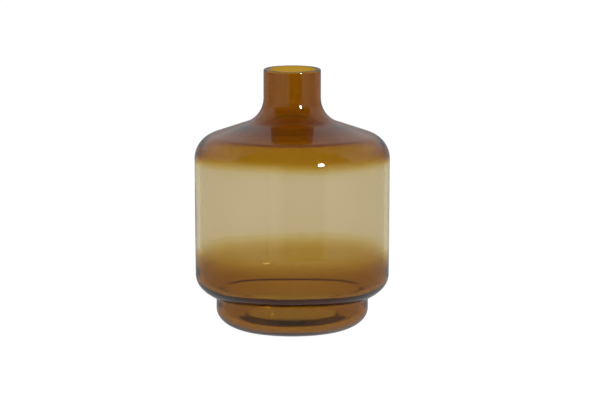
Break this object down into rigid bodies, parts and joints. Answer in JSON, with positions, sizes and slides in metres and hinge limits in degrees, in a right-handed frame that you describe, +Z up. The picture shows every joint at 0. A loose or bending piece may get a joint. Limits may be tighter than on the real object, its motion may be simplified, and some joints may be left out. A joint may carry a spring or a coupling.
{
  "type": "glass bud vase",
  "caption": "Mouth-blown bottle-shaped glass vase: straight narrow neck, sloping shoulder, upright wall and stepped foot, pale glass with amber fused over both ends.",
  "frame": {"origin": "centre of the flat ground base, on the surface the vase stands on", "axes": "+Z up along the axis of revolution, out of the neck; X and Y are any two horizontal directions"},
  "size_m": [0.148, 0.148, 0.2],
  "materials": {
    "pale_glass": "gloss, fire-polished",
    "upper_amber_glass": "gloss, fire-polished",
    "lower_amber_glass": "gloss, fire-polished"
  },
  "bodies": {
    "root": {"pale_glass_body": "pale_glass", "upper_amber_layer": "upper_amber_glass", "lower_amber_layer": "lower_amber_glass"}
  },
  "joints": []
}
